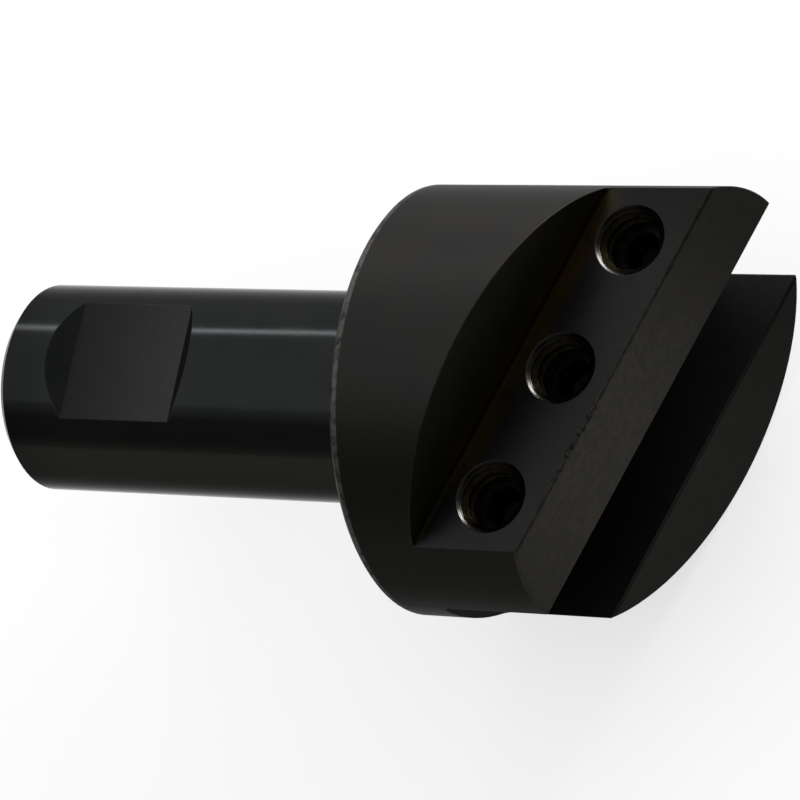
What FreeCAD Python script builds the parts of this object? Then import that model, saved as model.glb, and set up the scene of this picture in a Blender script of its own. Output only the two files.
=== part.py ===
import FreeCAD, Part
import math
import os

# Fly cutter: a one-piece steel body with a round flatted shank and a drum head,
# and three socket set screws that clamp a square tool bit in a slot across the head.
# Units are millimetres. X runs along the tool's axis from the shank to the cutting end,
# Z points up out of the clamping face and the shank flat.
# The origin is on the axis, in the plane of the head's rear face.

V = FreeCAD.Vector

# Shank
SHANK_D = 25.4            # one inch tool shank
SHANK_LEN = 54.0
SHANK_CHAMFER = 1.0
FLAT_Z = 10.3             # height of the driving flat above the axis
FLAT_START = 9.1          # from the shank end to the near end of the flat's floor
FLAT_LEN = 15.25
SHANK_ROOT_FILLET = 0.5   # corner between the shank and the head's rear face

# Head
HEAD_D = 50.8             # two inch head
HEAD_LEN = 29.4           # rear face to the tilted front face, measured on the axis
FACE_TILT = 20.0          # degrees between the front face and a square cut
REAR_CHAMFER = 0.5
EDGE_BREAK = 0.25         # light chamfer on the sharp front edges

# Clamping pocket, milled parallel to the front face
CLAMP_Z = 12.7            # height of the clamping face above the axis
POCKET_DEPTH = 12.5       # front face to the pocket's shoulder, square to the face
POCKET_FILLET = 0.5       # corner radius of the cutter that milled the pocket

# Slot for the tool bit
SLOT_TOP_Z = 0.0          # upper wall lies on the tool's centre plane
SLOT_WIDTH = 13.3
SLOT_DEPTH = 13.0
SLOT_CORNER = 0.8         # radius in the two bottom corners

# Set screws, 5/16-18
THREAD_D = 7.94
THREAD_CLEAR = 0.03       # radial clearance between screw and hole
PITCH = 25.4 / 18.0
MOUTH_D = 8.6             # countersunk mouth of each hole
SCREW_FROM_FACE = 6.5     # screw axis behind the front face, square to the face
SCREW_SPACING = round(HEAD_D * 0.3268, 2)   # the row of three fills the head's width
SCREW_COUNT = 3
SCREW_LEN = 9.5
SCREW_SUNK = 3.5          # top of each screw below the clamping face
SOCKET_AF = 3.97          # hexagon across flats
SOCKET_DEPTH = 4.2
SCREW_TOP_CHAMFER = 0.6
POINT_D = 4.6             # outside diameter of the cup point
CUP_D = 3.8
CUP_DEPTH = 1.1

head_r = HEAD_D / 2.0
shank_r = SHANK_D / 2.0
tilt = math.radians(FACE_TILT)
# unit vectors in the plane of the front face: across the head, and out of the face
across = V(math.sin(tilt), math.cos(tilt), 0)
outward = V(math.cos(tilt), -math.sin(tilt), 0)
face_centre = V(HEAD_LEN, 0, 0)


def at_face(depth, along, z):
    """Point given by its depth behind the front face, its place across the head and its height."""
    p = face_centre - outward * depth + across * along
    return V(p.x, p.y, z)


def prism(points, direction):
    wire = Part.makePolygon(points + [points[0]])
    return Part.Face(wire).extrude(direction)


def turned(profile):
    """Solid turned about the X axis from (x, radius) points."""
    pts = [V(x, r, 0) for x, r in profile]
    face = Part.Face(Part.makePolygon(pts + [pts[0]]))
    return face.revolve(V(0, 0, 0), V(1, 0, 0), 360)


def cutting_block(depth, z0, z1, overrun=12.0):
    """Block as wide as the head and more, open at the front face, with its back wall at the depth."""
    half = head_r + overrun
    a = at_face(depth, -half, z0)
    b = at_face(depth, half, z0)
    c = at_face(-overrun, half, z0)
    d = at_face(-overrun, -half, z0)
    return prism([a, b, c, d], V(0, 0, z1 - z0))


def edges_along(shape, direction, where):
    found = []
    for e in shape.Edges:
        if len(e.Vertexes) != 2:
            continue
        a, b = e.Vertexes[0].Point, e.Vertexes[1].Point
        d = (b - a)
        if d.Length < 1e-6 or abs(abs(d.normalize().dot(direction)) - 1) > 1e-6:
            continue
        mid = (e.Vertexes[0].Point + e.Vertexes[1].Point) * 0.5
        if where(mid):
            found.append(e)
    return found


def screw_axis(index):
    along = (index - (SCREW_COUNT - 1) / 2.0) * SCREW_SPACING
    # the middle screw crosses the tool's axis, so the row is shifted along the face
    shift = -SCREW_FROM_FACE * math.tan(tilt)
    return at_face(SCREW_FROM_FACE, along + shift, 0)


def make_shank_and_head():
    profile = [
        (-SHANK_LEN, 0),
        (-SHANK_LEN, shank_r - SHANK_CHAMFER),
        (-SHANK_LEN + SHANK_CHAMFER, shank_r),
        (0, shank_r),
        (0, head_r - REAR_CHAMFER),
        (REAR_CHAMFER, head_r),
        (HEAD_LEN + head_r, head_r),
        (HEAD_LEN + head_r, 0),
    ]
    blank = turned(profile)
    corner = [e for e in blank.Edges
              if abs(e.BoundBox.XMin) < 1e-6 and abs(e.BoundBox.XMax) < 1e-6
              and abs(e.BoundBox.ZMax - shank_r) < 1e-3]
    return blank.makeFillet(SHANK_ROOT_FILLET, corner)


def front_waste():
    half = head_r * 2
    a = at_face(0, -half, -half)
    b = at_face(0, half, -half)
    c = at_face(-half * 2, half, -half)
    d = at_face(-half * 2, -half, -half)
    return prism([a, b, c, d], V(0, 0, 2 * half))


def pocket_cutter():
    """Mill path that leaves the clamping face, the shoulder and the fillet between them."""
    block = cutting_block(POCKET_DEPTH, CLAMP_Z, head_r + 5)
    back = edges_along(block, across, lambda m: abs(m.z - CLAMP_Z) < 1e-6
                       and (m - face_centre).dot(outward) < -POCKET_DEPTH + 0.5)
    return block.makeFillet(POCKET_FILLET, back)


def slot_cutter():
    block = cutting_block(SLOT_DEPTH, SLOT_TOP_Z - SLOT_WIDTH, SLOT_TOP_Z)
    back = edges_along(block, across, lambda m: (m - face_centre).dot(outward) < -SLOT_DEPTH + 0.5)
    return block.makeFillet(SLOT_CORNER, back)


def flat_cutter():
    """Driving flat with run-out slopes of 45 degrees at both ends."""
    rise = shank_r - FLAT_Z + 2.0
    x0 = -SHANK_LEN + FLAT_START
    x1 = x0 + FLAT_LEN
    y = -shank_r - 2.0
    pts = [V(x0, y, FLAT_Z), V(x1, y, FLAT_Z), V(x1 + rise, y, FLAT_Z + rise), V(x0 - rise, y, FLAT_Z + rise)]
    return prism(pts, V(0, SHANK_D + 4.0, 0))


def threaded_hole(index):
    """Hole from the clamping face through to the slot, with a countersunk mouth."""
    r = THREAD_D / 2.0 + THREAD_CLEAR
    mouth = MOUTH_D / 2.0
    p = screw_axis(index)
    top = V(p.x, p.y, CLAMP_Z)
    drill = Part.makeCylinder(r, CLAMP_Z - SLOT_TOP_Z + 4.0, V(p.x, p.y, SLOT_TOP_Z - 1.0), V(0, 0, 1))
    over = 0.3
    sink = Part.makeCone(mouth + over, r, over + mouth - r, top + V(0, 0, over), V(0, 0, -1))
    return drill.fuse(sink)


def body_shape():
    body = make_shank_and_head().cut(front_waste())
    body = body.cut(pocket_cutter())
    body = body.cut(slot_cutter())
    body = body.cut(flat_cutter())

    # light chamfer on the edges of the front face
    front = []
    for e in body.Edges:
        pts = [e.valueAt(e.FirstParameter + k * (e.LastParameter - e.FirstParameter) / 4.0) for k in range(5)]
        if all(abs((q - face_centre).dot(outward)) < 1e-5 for q in pts):
            front.append(e)
    body = body.makeChamfer(EDGE_BREAK, front)

    for i in range(SCREW_COUNT):
        body = body.cut(threaded_hole(i))
    return body.removeSplitter()


def hexagon(af, z, centre):
    rad = af / math.sqrt(3.0)
    return [V(centre.x + rad * math.cos(math.radians(60 * k + 30)),
              centre.y + rad * math.sin(math.radians(60 * k + 30)), z) for k in range(6)]


def set_screw(index):
    """Socket set screw with a cup point, drawn pointing down into the slot."""
    c = screw_axis(index)
    r = THREAD_D / 2.0
    top = CLAMP_Z - SCREW_SUNK
    tip = top - SCREW_LEN
    point = POINT_D / 2.0
    cup = CUP_D / 2.0
    profile = [
        (0, tip + CUP_DEPTH),
        (cup, tip),
        (point, tip),
        (r, tip + (r - point)),
        (r, top - SCREW_TOP_CHAMFER),
        (r - SCREW_TOP_CHAMFER, top),
        (0, top),
    ]
    pts = [V(c.x + a, c.y, z) for a, z in profile]
    blank = Part.Face(Part.makePolygon(pts + [pts[0]])).revolve(V(c.x, c.y, 0), V(0, 0, 1), 360)
    socket = prism(hexagon(SOCKET_AF, top - SOCKET_DEPTH, c), V(0, 0, SOCKET_DEPTH + 1.0))
    # drill point at the bottom and a lead-in at the mouth of the socket
    drill_r = SOCKET_AF / 2.0
    drill = Part.makeCone(drill_r, 0.0, drill_r * 0.5, V(c.x, c.y, top - SOCKET_DEPTH), V(0, 0, -1))
    lead_r = SOCKET_AF / math.sqrt(3.0) + 0.1
    lead = Part.makeCone(lead_r + 1.0, lead_r - 0.35, 1.35, V(c.x, c.y, top + 1.0), V(0, 0, -1))
    return blank.cut(socket).cut(drill).cut(lead)


os.makedirs("parts", exist_ok=True)

body_shape().exportStep("parts/cutter_body.step")
for n in range(SCREW_COUNT):
    set_screw(n).exportStep("parts/set_screw_%d.step" % (n + 1))
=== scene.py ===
import math

import bmesh
import bpy
from mathutils import Matrix, Vector


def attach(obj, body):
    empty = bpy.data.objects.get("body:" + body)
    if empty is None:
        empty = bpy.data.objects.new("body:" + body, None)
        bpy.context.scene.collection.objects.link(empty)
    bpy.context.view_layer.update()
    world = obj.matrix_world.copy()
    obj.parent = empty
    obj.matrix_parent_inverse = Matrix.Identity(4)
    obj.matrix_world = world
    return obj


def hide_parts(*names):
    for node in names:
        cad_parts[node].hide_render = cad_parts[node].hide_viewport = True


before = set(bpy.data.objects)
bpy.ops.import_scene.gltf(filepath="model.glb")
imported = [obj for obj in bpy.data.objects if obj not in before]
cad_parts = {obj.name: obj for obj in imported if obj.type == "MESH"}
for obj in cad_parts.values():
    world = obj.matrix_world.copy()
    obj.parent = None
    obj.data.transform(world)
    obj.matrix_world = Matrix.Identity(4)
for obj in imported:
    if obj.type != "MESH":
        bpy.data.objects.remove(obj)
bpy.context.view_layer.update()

# Sizes in millimetres, the same as the CAD source
MM = 0.001
HEAD_R, SHANK_R = 25.4, 12.7
HEAD_LEN, TILT = 29.4, math.radians(20.0)
CLAMP_Z, POCKET_DEPTH = 12.7, 12.5
SLOT_TOP, SLOT_WIDTH, SLOT_DEPTH = 0.0, 13.3, 13.0
FLAT_Z = 10.3
MOUTH_R = 4.3
PITCH = 25.4 / 18.0
SCREW_X, SCREW_STEP = 22.483, 16.6
SCREW_TOP, SCREW_LEN = 9.2, 9.5
SOCKET_AF, SOCKET_DEPTH = 3.97, 4.2
POINT_R, CUP_R, CUP_DEPTH = 2.3, 1.9, 1.1
FLOOR_Z = -HEAD_R
FLOOR_GAP = 0.00002         # metres between the head's lowest line and the floor

# The countersink goes on below the CAD cone, from this height and radius, with this slope
LEAD_TOP, LEAD_R, LEAD_SLOPE = 12.38, 3.98, 1.20

# Out of the tilted front face, and across the head along it
OUT = Vector((math.cos(TILT), -math.sin(TILT), 0.0))
ACROSS = Vector((math.sin(TILT), math.cos(TILT), 0.0))

# Direction of the side of each hole that gets a painted glint, across the head and out of the face
GLINT_ACROSS, GLINT_OUT = -0.94, -0.342


# Node helpers

class Value:
    """A socket in a node tree that takes part in plain arithmetic."""

    def __init__(self, net, socket):
        self.net, self.socket = net, socket

    def __add__(self, other):
        return self.net.math("ADD", self, other)

    def __sub__(self, other):
        return self.net.math("SUBTRACT", self, other)

    def __rsub__(self, other):
        return self.net.math("SUBTRACT", other, self)

    def __mul__(self, other):
        return self.net.math("MULTIPLY", self, other)

    def __truediv__(self, other):
        return self.net.math("DIVIDE", self, other)


class Net:
    """Builds nodes in a material's or the world's tree."""

    def __init__(self, tree):
        self.tree = tree
        tree.nodes.clear()

    def node(self, kind, **settings):
        n = self.tree.nodes.new(kind)
        for key, value in settings.items():
            setattr(n, key, value)
        return n

    def put(self, socket, value):
        if isinstance(value, Value):
            self.tree.links.new(value.socket, socket)
        elif isinstance(value, bpy.types.NodeSocket):
            self.tree.links.new(value, socket)
        elif value is not None:
            if isinstance(value, tuple) and len(value) == 3 and len(socket.default_value) == 4:
                value = (*value, 1.0)
            socket.default_value = value

    def math(self, op, a, b=None, c=None, clamp=False):
        n = self.node("ShaderNodeMath", operation=op, use_clamp=clamp)
        for i, v in enumerate((a, b, c)):
            self.put(n.inputs[i], v)
        return Value(self, n.outputs[0])

    def step(self, value, low, high):
        """0 at low, 1 at high, smooth between; low may be above high."""
        n = self.node("ShaderNodeMapRange", interpolation_type="SMOOTHSTEP")
        start, end = (1.0, 0.0) if low > high else (0.0, 1.0)
        for i, v in enumerate((value, min(low, high), max(low, high), start, end)):
            self.put(n.inputs[i], v)
        return Value(self, n.outputs[0])

    def all_of(self, *masks):
        """1 where every mask is 1."""
        out = masks[0]
        for m in masks[1:]:
            out = out * m
        return out

    def mix(self, fac, a, b):
        """Colours, factor 0 gives a."""
        n = self.node("ShaderNodeMix", data_type="RGBA")
        self.put(n.inputs[0], fac)
        self.put(n.inputs[6], a)
        self.put(n.inputs[7], b)
        return n.outputs[2]

    def blend(self, fac, a, b):
        """Numbers, factor 0 gives a."""
        n = self.node("ShaderNodeMix", data_type="FLOAT")
        self.put(n.inputs[0], fac)
        self.put(n.inputs[2], a)
        self.put(n.inputs[3], b)
        return Value(self, n.outputs[0])

    def vector(self, x, y, z):
        n = self.node("ShaderNodeCombineXYZ")
        for i, v in enumerate((x, y, z)):
            self.put(n.inputs[i], v)
        return n.outputs[0]

    def split(self, socket):
        n = self.node("ShaderNodeSeparateXYZ")
        self.put(n.inputs[0], socket)
        return [Value(self, o) for o in n.outputs]

    def noise(self, vector, scale, detail=2.0, rough=0.5):
        n = self.node("ShaderNodeTexNoise")
        self.put(n.inputs["Vector"], vector)
        self.put(n.inputs["Scale"], scale)
        self.put(n.inputs["Detail"], detail)
        self.put(n.inputs["Roughness"], rough)
        return Value(self, n.outputs[0])

    def bump(self, height, distance, strength=1.0, normal=None):
        n = self.node("ShaderNodeBump")
        self.put(n.inputs["Strength"], strength)
        self.put(n.inputs["Distance"], distance)
        self.put(n.inputs["Height"], height)
        if normal is not None:
            self.put(n.inputs["Normal"], normal)
        return n.outputs[0]


def new_material(name):
    m = bpy.data.materials.new(name)
    m.use_nodes = True
    net = Net(m.node_tree)
    out = net.node("ShaderNodeOutputMaterial")
    shader = net.node("ShaderNodeBsdfPrincipled")
    net.tree.links.new(shader.outputs[0], out.inputs[0])
    return m, net, shader


def place(net):
    """Object coordinates in millimetres and the object's own normal."""
    tex = net.node("ShaderNodeTexCoord")
    grow = net.node("ShaderNodeVectorMath", operation="SCALE")
    net.put(grow.inputs[0], tex.outputs["Object"])
    grow.inputs["Scale"].default_value = 1.0 / MM
    p = grow.outputs[0]
    return p, net.split(p), net.split(tex.outputs["Normal"])


# Materials

def hole_place(net, x, y):
    """Distance from the nearest screw's axis, and a mask for the side of the hole that gets a
    painted glint.
    """
    along = (x - SCREW_X) * ACROSS.x + y * ACROSS.y
    aside = (x - SCREW_X) * OUT.x + y * OUT.y
    row = net.math("WRAP", along, SCREW_STEP / 2, -SCREW_STEP / 2)
    radius = net.math("SQRT", row * row + aside * aside)
    glint_side = net.step((row * GLINT_ACROSS + aside * GLINT_OUT) / radius, 0.70, 0.94)
    return radius, glint_side


def body_surfaces(net, x, z, nz, radius, depth, corner, hole_r):
    """A mask for each machined surface. They fade over about a tenth of a millimetre.

    The driving flat is told from the clamping face by its place behind the head.
    """
    in_head = net.step(x, 0.0, 0.2)
    inside = net.step(radius, HEAD_R - 0.06, HEAD_R - 0.2)
    on = {
        "shank": (net.step(x, 0.05, -0.15), net.step(radius, SHANK_R + 0.55, SHANK_R + 0.35)),
        "flat": (net.step(x, -20.0, -21.0), net.step(nz, 0.97, 0.99),
                 net.step(z, FLAT_Z + 0.1, FLAT_Z + 0.05)),
        "side": (net.step(radius, HEAD_R - 0.2, HEAD_R - 0.08), net.step(x, 0.8, 1.1)),
        "front": (net.step(depth, 0.42, 0.3),),
        "clamp": (in_head, net.step(nz, 0.9, 0.97), net.step(z, CLAMP_Z + 0.2, CLAMP_Z + 0.05),
                  net.step(z, CLAMP_Z - 0.2, CLAMP_Z - 0.05)),
        "pocket": (in_head, inside, net.step(z, CLAMP_Z + 0.02, CLAMP_Z + 0.1),
                   net.step(depth, POCKET_DEPTH - 0.9, POCKET_DEPTH - 0.6),
                   net.step(depth, POCKET_DEPTH + 0.4, POCKET_DEPTH + 0.2)),
        "slot": (inside, net.step(z, SLOT_TOP + 0.05, SLOT_TOP - 0.02),
                 net.step(z, SLOT_TOP - SLOT_WIDTH - 0.06, SLOT_TOP - SLOT_WIDTH + 0.02),
                 net.step(depth, 0.42, 0.6), net.step(depth, SLOT_DEPTH + 0.2, SLOT_DEPTH + 0.05)),
        "mouth": (in_head, net.step(hole_r, MOUTH_R + 0.08, MOUTH_R + 0.01),
                  net.step(z, CLAMP_Z - 0.5, CLAMP_Z - 0.4), net.step(nz, 0.93, 0.85)),
        "fillet": (in_head, inside, net.step(corner, 0.62, 0.45),
                   net.step(z, CLAMP_Z - 0.01, CLAMP_Z + 0.02),
                   net.step(depth, POCKET_DEPTH - 0.7, POCKET_DEPTH - 0.55),
                   net.step(depth, POCKET_DEPTH + 0.4, POCKET_DEPTH + 0.2)),
    }
    return {name: net.all_of(*masks) for name, masks in on.items()}


def body_finishes(net, p, x, y, z, along, corner, noises):
    """The oxide's colour on each surface: cool on the ground shank, warm and patchy in front, with
    painted shade on the head's side towards -Y and on the front face below the slot and towards
    its +along end.
    """
    cloud, patch, grain = noises

    def pair(noise, low, high, a, b):
        return net.mix(net.step(noise, low, high), a, b)

    shank = pair(cloud, 0.35, 0.65, (0.0154, 0.0163, 0.0168), (0.0170, 0.0177, 0.0178))
    shank = net.mix(net.step(y, -6.0, -11.0), shank, (0.0150, 0.0147, 0.0136))
    shank = net.mix(net.step(x, -44.0, -53.5) * 0.42, shank, (0.0075, 0.0079, 0.0075))

    flat = pair(patch, 0.30, 0.70, (0.0240, 0.0245, 0.0248), (0.0275, 0.0272, 0.0268))
    flat = net.mix(net.step(x, -46.5, -26.0), (0.0125, 0.0129, 0.0129), flat)

    side = pair(cloud, 0.30, 0.70, (0.0172, 0.0170, 0.0168), (0.0190, 0.0183, 0.0172))
    side = net.mix(net.step(grain, 0.45, 0.7) * 0.3, side, (0.0225, 0.0215, 0.0200))
    # painted shade: the head's side turns darker towards -Y, standing for the dark band mirrored
    # on its lower part
    side = net.mix(net.step(y, -5.0, -13.5), side, (0.0116, 0.0114, 0.0103))

    upper = pair(patch, 0.40, 0.60, (0.0250, 0.0252, 0.0218), (0.0350, 0.0298, 0.0250))
    upper = net.mix(net.step(grain, 0.45, 0.65) * 0.4, upper, (0.0375, 0.0362, 0.0325))
    lower = pair(patch, 0.38, 0.62, (0.0128, 0.0132, 0.0118), (0.0158, 0.0150, 0.0134))
    lower = net.mix(net.step(grain, 0.48, 0.68) * 0.35, lower, (0.0175, 0.0172, 0.0158))
    # painted shade: the front face below the slot is a darker copy of the face above it
    front = net.mix(net.step(z, -13.0, -13.6), upper, lower)
    # painted shade: the front face darkens towards its +along end, for the dimmer floor it mirrors
    # there; the next line also darkens it a little towards the other end
    front = net.mix(net.step(along, -4.0, 26.0) * 0.72, front, (0.0050, 0.0054, 0.0045))
    front = net.mix(net.step(along, -12.0, -28.0) * 0.35, front, (0.0100, 0.0102, 0.0090))

    stain = net.all_of(net.step(corner, 3.4, 0.6),
                       net.step(net.noise(p, 0.42, 3.0, 0.6), 0.12, 0.52),
                       net.step(along, -21.5, -16.5), net.step(along, 22.0, 9.0))
    clamp = pair(cloud, 0.35, 0.65, (0.0158, 0.0158, 0.0160), (0.0176, 0.0174, 0.0172))
    clamp = net.mix(net.step(along, 8.0, 24.0) * 0.6, clamp, (0.0080, 0.0085, 0.0072))
    clamp = net.mix(stain, clamp, (0.0540, 0.0340, 0.0090))
    pocket = pair(cloud, 0.35, 0.65, (0.0128, 0.0130, 0.0098), (0.0155, 0.0142, 0.0105))
    pocket = net.mix(stain * 0.8, pocket, (0.0420, 0.0300, 0.0085))

    slot = pair(patch, 0.35, 0.65, (0.0140, 0.0141, 0.0149), (0.0164, 0.0163, 0.0164))
    return {"side": side, "shank": shank, "flat": flat, "clamp": clamp, "pocket": pocket,
            "slot": slot, "front": front, "fillet": (0.0064, 0.0045, 0.0015)}


def edge_nicks(net, p, z, depth, along):
    """Dark nicks along the clamping face's front edge, most between screws 1 and 2."""
    from_edge = net.math("MAXIMUM", depth, CLAMP_Z - z)
    often = net.step(along, -2.0, -6.0) * net.step(along, -18.0, -11.0) * 0.55 + 0.25
    return net.all_of(net.step(from_edge, 0.60, 0.38),
                      net.step(z, CLAMP_Z + 0.2, CLAMP_Z + 0.05),
                      net.step(net.noise(p, 1.1, 2.0, 0.6), 0.50, 0.58), often)


def edge_wear_and_highlight(net, bevel, p, x, z, radius, depth, on_side):
    """Lighter colour on the rear rim and on the pocket's outer edge: partly worn oxide, partly a
    painted highlight that is strongest on the rim's upper side.
    """
    geometry = net.node("ShaderNodeNewGeometry")
    dot = net.node("ShaderNodeVectorMath", operation="DOT_PRODUCT")
    net.put(dot.inputs[0], bevel.outputs[0])
    net.put(dot.inputs[1], geometry.outputs["Normal"])
    turn = net.step(Value(net, dot.outputs["Value"]), 0.985, 0.86)
    rear_rim = net.all_of(net.step(x, -0.05, 0.1), net.step(x, 1.15, 0.95),
                          net.step(radius, HEAD_R - 1.2, HEAD_R - 0.9))
    outer_edge = net.step(depth, 1.0, 1.6) * net.blend(on_side, 0.0, 0.3)
    # painted highlight: the rear rim's light fades out towards its lower side; the noise below
    # breaks it up like wear
    wear_and_highlight = net.math("MAXIMUM", turn * outer_edge, rear_rim * net.step(z, -16.0, 4.0) * 0.9,
                    clamp=True)
    return wear_and_highlight * net.step(net.noise(p, 0.9, 3.0, 0.6), 0.25, 0.6)


def body_material():
    """Black oxide steel. Each machined surface has its own finish."""
    m, net, shader = new_material("black_oxide_body")
    p, (x, y, z), (_, ny, nz) = place(net)
    radius = net.math("SQRT", y * y + z * z)
    depth = (HEAD_LEN - x) * OUT.x + y * -OUT.y
    along = (x - HEAD_LEN) * ACROSS.x + y * ACROSS.y
    corner = net.math("MAXIMUM", POCKET_DEPTH - depth, z - CLAMP_Z)
    hole_r, glint_side = hole_place(net, x, y)
    cloud = net.noise(p, 0.16, 3.0, 0.55)
    patch = net.noise(p, 0.85, 4.0, 0.62)
    grain = net.noise(p, 4.2, 3.0, 0.6)
    bevel = net.node("ShaderNodeBevel", samples=6)
    bevel.inputs["Radius"].default_value = 0.22 * MM

    on = body_surfaces(net, x, z, nz, radius, depth, corner, hole_r)
    finish = body_finishes(net, p, x, y, z, along, corner, (cloud, patch, grain))
    colour = finish["side"]
    for name in ("shank", "flat", "clamp", "pocket", "slot", "front", "fillet"):
        colour = net.mix(on[name], colour, finish[name])
    nicks = edge_nicks(net, p, z, depth, along)
    colour = net.mix(nicks, colour, (0.0055, 0.0055, 0.0048))
    wear_and_highlight = edge_wear_and_highlight(net, bevel, p, x, z, radius, depth, on["side"])
    # worn oxide and a painted highlight: the edges and the rear rim turn lighter
    colour = net.mix(wear_and_highlight, colour, (0.070, 0.067, 0.062))
    # painted glint: the countersink mouth is much lighter on the side of each hole where the side
    # lamp glints
    mouth = net.mix(glint_side, (0.0150, 0.0146, 0.0138), (0.0860, 0.0840, 0.0800))
    colour = net.mix(on["mouth"], colour, mouth)

    rough = 0.45
    for name, value in (("shank", 0.13), ("flat", 0.32), ("clamp", 0.36), ("pocket", 0.55),
                        ("slot", 0.54), ("front", 0.52), ("mouth", 0.25)):
        rough = net.blend(on[name], rough, value)
    rough = rough + (grain - 0.5) * 0.16 + (cloud - 0.5) * 0.08

    # machining marks: rings from turning and grinding, straight lines from milling
    rings = net.noise(net.vector(x * 9.0, radius * 9.0, 0.0), 1.0, 2.0, 0.6)
    lines = net.noise(net.vector(depth * 7.0, along * 0.05, z * 7.0), 1.0, 2.0, 0.6)
    flat_lines = net.noise(net.vector(x * 7.0, y * 0.06, 0.0), 1.0, 2.0, 0.6)
    height = rings * net.blend(on["shank"], 0.9, 0.18)
    height = net.blend(on["clamp"], height, lines * 0.7 + grain * 0.25)
    height = net.blend(on["pocket"], height, lines * 0.7 + grain * 0.4)
    height = net.blend(on["slot"], height, lines * 0.7)
    height = net.blend(on["flat"], height, flat_lines * 0.8 + grain * 0.2)
    height = net.blend(on["front"], height, grain * 1.6 + patch)
    normal = net.bump(height, 0.018 * MM, 0.55, bevel.outputs[0])

    # painted shade: the oxide's reflection at a grazing angle is turned down where it faces the
    # head's short side, standing for the shadowed floor mirrored there
    tint = net.mix(net.step(ny, -0.62, -0.86), (0.58, 0.58, 0.58), (0.52, 0.52, 0.52))
    net.put(shader.inputs["Base Color"], colour)
    shader.inputs["Metallic"].default_value = 1.0
    net.put(shader.inputs["Specular Tint"], tint)
    net.put(shader.inputs["Roughness"], rough)
    net.put(shader.inputs["Normal"], normal)
    return m


def thread_material(name, dark, light, roughness):
    """Dark threaded steel, in patches between the two given colours, with a painted glint on one
    side of the lead-in cone.
    """
    m, net, shader = new_material(name)
    p, (x, y, z), _ = place(net)
    patch = net.noise(p, 0.9, 3.0, 0.6)
    grain = net.noise(p, 5.0, 2.0, 0.6)
    colour = net.mix(net.step(patch, 0.34, 0.66), dark, light)
    hole_r, glint_side = hole_place(net, x, y)
    off_cone = net.math("ABSOLUTE", hole_r - (LEAD_R - (LEAD_TOP - z) * LEAD_SLOPE))
    on_cone = net.all_of(net.step(off_cone, 0.06, 0.03),
                         net.step(z, LEAD_TOP - 0.7, LEAD_TOP - 0.45))
    # painted glint: the lead-in cone is much lighter on the side of each hole where the side lamp
    # glints
    cone_colour = net.mix(glint_side, (0.0125, 0.0112, 0.0085), (0.0900, 0.0870, 0.0810))
    colour = net.mix(on_cone, colour, cone_colour)
    net.put(shader.inputs["Base Color"], colour)
    shader.inputs["Metallic"].default_value = 1.0
    shader.inputs["Specular Tint"].default_value = (0.5, 0.5, 0.5, 1.0)
    net.put(shader.inputs["Roughness"], (grain - 0.5) * 0.2 + roughness)
    net.put(shader.inputs["Normal"], net.bump(grain, 0.01 * MM, 0.4))
    return m


# Threads and screws

SIDES = 96
TURN_STEPS = 22                       # rings for each turn of thread
CREST_R, ROOT_R = 3.90, 3.27          # screw thread
CREST_FLAT = 0.176
TOP_CHAMFER = 0.6
TOP_RING_R = 2.75                     # a ring on the flat top, between chamfer and socket
BORE_R, GROOVE_R = 3.32, 3.95         # thread in the body
GROOVE_FLAT = 0.33
SLEEVE_R = 4.07                       # just inside the steel around the CAD hole


def ridge(z, angle, top_r, bottom_r, flat):
    """Radius of a 60 degree ridge: top_r over the flat part of the pitch, down to bottom_r."""
    u = (z / PITCH - angle / (2 * math.pi)) % 1.0
    away = min(u, 1.0 - u) * PITCH - flat / 2.0
    drop = max(0.0, away) / math.tan(math.radians(30.0))
    span = abs(top_r - bottom_r)
    return top_r + math.copysign(min(drop, span), bottom_r - top_r)


def rings_mesh(name, rings, closed, centre):
    """Mesh from rings of SIDES points each; the ends close to a point or to each other."""
    bm = bmesh.new()
    rows = []
    for ring in rings:
        if isinstance(ring, float):
            rows.append([bm.verts.new((centre[0] * MM, centre[1] * MM, ring * MM))])
            continue
        row = []
        for k, (r, z) in enumerate(ring):
            t = 2 * math.pi * k / SIDES
            x, y = centre[0] + r * math.cos(t), centre[1] + r * math.sin(t)
            row.append(bm.verts.new((x * MM, y * MM, z * MM)))
        rows.append(row)
    pairs = list(zip(rows, rows[1:])) + ([(rows[-1], rows[0])] if closed else [])
    for a, b in pairs:
        for k in range(SIDES):
            j = (k + 1) % SIDES
            if len(a) == 1:
                bm.faces.new((a[0], b[j], b[k]))
            elif len(b) == 1:
                bm.faces.new((a[k], a[j], b[0]))
            else:
                bm.faces.new((a[k], a[j], b[j], b[k]))
    bmesh.ops.recalc_face_normals(bm, faces=bm.faces[:])
    mesh = bpy.data.meshes.new(name)
    bm.to_mesh(mesh)
    bm.free()
    mesh.shade_smooth()
    mesh.set_sharp_from_angle(angle=math.radians(28))
    obj = bpy.data.objects.new(name, mesh)
    bpy.context.scene.collection.objects.link(obj)
    return obj


def angles():
    return [2 * math.pi * k / SIDES for k in range(SIDES)]


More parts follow.
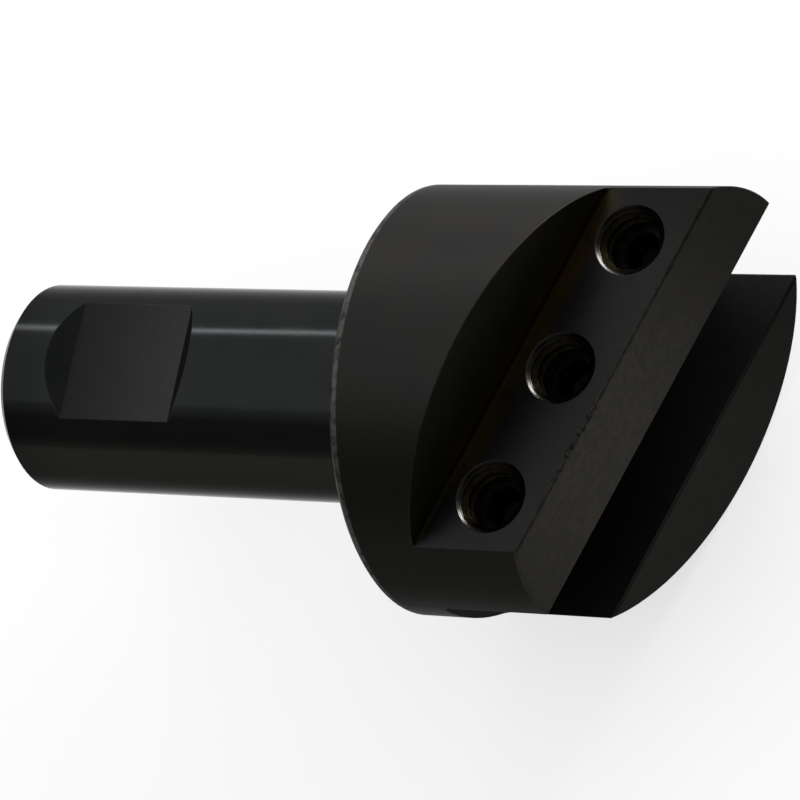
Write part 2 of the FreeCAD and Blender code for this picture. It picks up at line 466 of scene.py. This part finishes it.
def thread_sleeve(index, centre, material):
    """The thread that is cut into the body's hole, from the lead-in cone down to the slot.

    Its ends stay a few hundredths of a millimetre off the faces of the CAD body.
    """
    low, high = SLOT_TOP + 0.04, LEAD_TOP
    steps = int((high - low) / PITCH * TURN_STEPS)
    rings = []
    for i in range(steps + 1):
        z = low + (high - low) * i / steps
        cone = max(LEAD_R - (high - z) * LEAD_SLOPE, LEAD_R - (z - low) - 0.25)
        cone = min(cone, GROOVE_R + 0.03)
        rings.append([(max(ridge(z, t, GROOVE_R, BORE_R, GROOVE_FLAT), cone), z)
                      for t in angles()])
    rings.append([(SLEEVE_R, high - 0.03)] * SIDES)
    rings.append([(SLEEVE_R, low + 0.03)] * SIDES)
    obj = rings_mesh("hole_thread_%d" % (index + 1), rings, True, centre)
    obj.data.materials.append(material)
    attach(obj, "cutter_body")


def hex_r(angle):
    """Distance from the socket's axis to the wall of its hexagon."""
    half = math.pi / 6
    return SOCKET_AF / 2 / math.cos((angle + half) % (2 * half) - half)


def set_screw(index, centre, material):
    """Socket set screw: cup point, full thread, hexagon socket with a drill point."""
    top, tip = SCREW_TOP, SCREW_TOP - SCREW_LEN
    turn = math.radians((14.0, 47.0, 31.0)[index])
    rings = [tip + CUP_DEPTH]
    for share in (0.3, 0.62, 0.9, 1.0):
        rings.append([(CUP_R * share, tip + CUP_DEPTH * (1 - share ** 1.5))] * SIDES)
    rings.append([(POINT_R, tip)] * SIDES)
    steps = int(SCREW_LEN / PITCH * TURN_STEPS)
    for i in range(1, steps):
        z = tip + SCREW_LEN * i / steps
        limit = min(POINT_R + (z - tip), CREST_R - TOP_CHAMFER + (top - z))
        rings.append([(min(ridge(z, t, CREST_R, ROOT_R, CREST_FLAT), limit), z)
                      for t in angles()])
    rings.append([(CREST_R - TOP_CHAMFER, top)] * SIDES)
    rings.append([(TOP_RING_R, top)] * SIDES)
    lead = SOCKET_AF / math.sqrt(3) + 0.1
    rings.append([(lead, top)] * SIDES)
    socket = [hex_r(t + turn) for t in angles()]
    rings.append([(r, top - (lead - r)) for r in socket])
    rings.append([(r, top - SOCKET_DEPTH) for r in socket])
    rings.append([(SOCKET_AF / 2 - 0.02, top - SOCKET_DEPTH)] * SIDES)
    rings.append(top - SOCKET_DEPTH - SOCKET_AF / 4)
    obj = rings_mesh("set_screw_%d_threaded" % (index + 1), rings, False, centre)
    obj.data.materials.append(material)
    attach(obj, "set_screw_%d" % (index + 1))
    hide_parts("set_screw_%d" % (index + 1))


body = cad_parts["cutter_body"]
body.data.materials.clear()
body.data.materials.append(body_material())

sleeve_finish = thread_material("dark_thread", (0.0038, 0.0031, 0.0016),
                                (0.0076, 0.0060, 0.0028), 0.38)
screw_finish = thread_material("black_screw", (0.0045, 0.0042, 0.0038),
                               (0.0080, 0.0075, 0.0070), 0.42)
for i in range(3):
    step = (i - 1) * SCREW_STEP
    centre = (SCREW_X + ACROSS.x * step, ACROSS.y * step)
    thread_sleeve(i, centre, sleeve_finish)
    set_screw(i, centre, screw_finish)
    plain_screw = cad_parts["set_screw_%d" % (i + 1)]
    plain_screw.data.materials.clear()
    plain_screw.data.materials.append(screw_finish)


# Floor, light and camera

def floor():
    """A white floor under the head. It is nearly plain white where it is seen or mirrored."""
    m = bpy.data.materials.new("pale_floor")
    m.use_nodes = True
    net = Net(m.node_tree)
    out = net.node("ShaderNodeOutputMaterial")
    path = net.node("ShaderNodeLightPath")
    seen = Value(net, path.outputs["Is Camera Ray"])
    for kind in ("Is Glossy Ray", "Is Transmission Ray"):
        seen = net.math("MAXIMUM", seen, Value(net, path.outputs[kind]))
    diffuse = net.node("ShaderNodeBsdfDiffuse")
    diffuse.inputs["Color"].default_value = (0.90, 0.90, 0.90, 1)
    glow = net.node("ShaderNodeEmission")
    glow.inputs["Color"].default_value = (1, 1, 1, 1)
    glow.inputs["Strength"].default_value = 1.0
    mix = net.node("ShaderNodeMixShader")
    net.put(mix.inputs[0], seen * 0.7)
    net.tree.links.new(diffuse.outputs[0], mix.inputs[1])
    net.tree.links.new(glow.outputs[0], mix.inputs[2])
    net.tree.links.new(mix.outputs[0], out.inputs[0])
    bm = bmesh.new()
    bmesh.ops.create_circle(bm, cap_ends=True, radius=4.0, segments=64)
    mesh = bpy.data.meshes.new("floor")
    bm.to_mesh(mesh)
    bm.free()
    obj = bpy.data.objects.new("floor", mesh)
    bpy.context.scene.collection.objects.link(obj)
    obj.location.z = FLOOR_Z * MM - FLOOR_GAP
    mesh.materials.append(m)


def softbox(name, direction, distance, width, height, radiance, along=None):
    """A lamp that faces the object; along is the direction of its width."""
    light = bpy.data.lights.new(name, "AREA")
    light.shape = "RECTANGLE"
    light.size, light.size_y = width, height
    light.energy = radiance * math.pi * width * height
    obj = bpy.data.objects.new(name, light)
    d = Vector(direction).normalized()
    obj.location = d * distance
    obj.rotation_mode = "QUATERNION"
    obj.rotation_quaternion = d.to_track_quat("Z", "Y")
    if along:
        side = (along - d * along.dot(d)).normalized()
        obj.rotation_quaternion = Matrix((side, d.cross(side), d)).transposed().to_quaternion()
    bpy.context.scene.collection.objects.link(obj)


def studio():
    """Soft light, brightest from above and the long side, dimmer in front of the cutting end."""
    world = bpy.data.worlds.new("studio")
    bpy.context.scene.world = world
    world.use_nodes = True
    net = Net(world.node_tree)
    out = net.node("ShaderNodeOutputWorld")
    back = net.node("ShaderNodeBackground")
    tex = net.node("ShaderNodeTexCoord")
    vx, vy, vz = net.split(tex.outputs["Generated"])
    # degrees around the tool's axis, 90 straight up and 180 level with it on the short side
    height = net.math("ARCTAN2", vz, vy) * (180.0 / math.pi)
    level = 1.25 - net.step(height, 124.0, 129.0) * 0.58 - net.step(height, 129.0, 144.0) * 0.37
    level = level + net.step(height, 166.0, 180.0) * 0.25
    level = level * (1.0 - net.step(vx, 0.05, 0.55) * 0.58)
    level = level * (1.0 - net.step(vx, 0.35, 0.60) * net.step(vy, -0.05, -0.32) * 0.60)
    net.put(back.inputs["Color"], (1.0, 1.0, 1.0))
    net.put(back.inputs["Strength"], level)
    net.tree.links.new(back.outputs[0], out.inputs[0])
    softbox("strip", (-0.485, 0.73, 0.53), 1.2, 0.5, 0.08, 9.0)
    softbox("side_box", (0.13, 0.97, 0.18), 2.0, 1.9, 0.85, 11.0, Vector((0.86, -0.18, 0.48)))


def camera():
    """The photograph's camera, fitted to points on the tool."""
    data = bpy.data.cameras.new("camera")
    data.lens, data.sensor_width = 190.33, 36.0
    data.clip_start, data.clip_end = 0.01, 50.0
    obj = bpy.data.objects.new("camera", data)
    right = Vector((0.872727, 0.189873, -0.449773))
    up = Vector((-0.029715, 0.940223, 0.339260))
    back = Vector((0.487303, -0.282717, 0.826200))
    m = Matrix((right, up, back)).transposed().to_4x4()
    m.translation = (0.239554, -0.141917, 0.414253)
    obj.matrix_world = m
    bpy.context.scene.collection.objects.link(obj)
    bpy.context.scene.camera = obj


floor()
studio()
camera()
bpy.context.scene.view_settings.view_transform = "Standard"
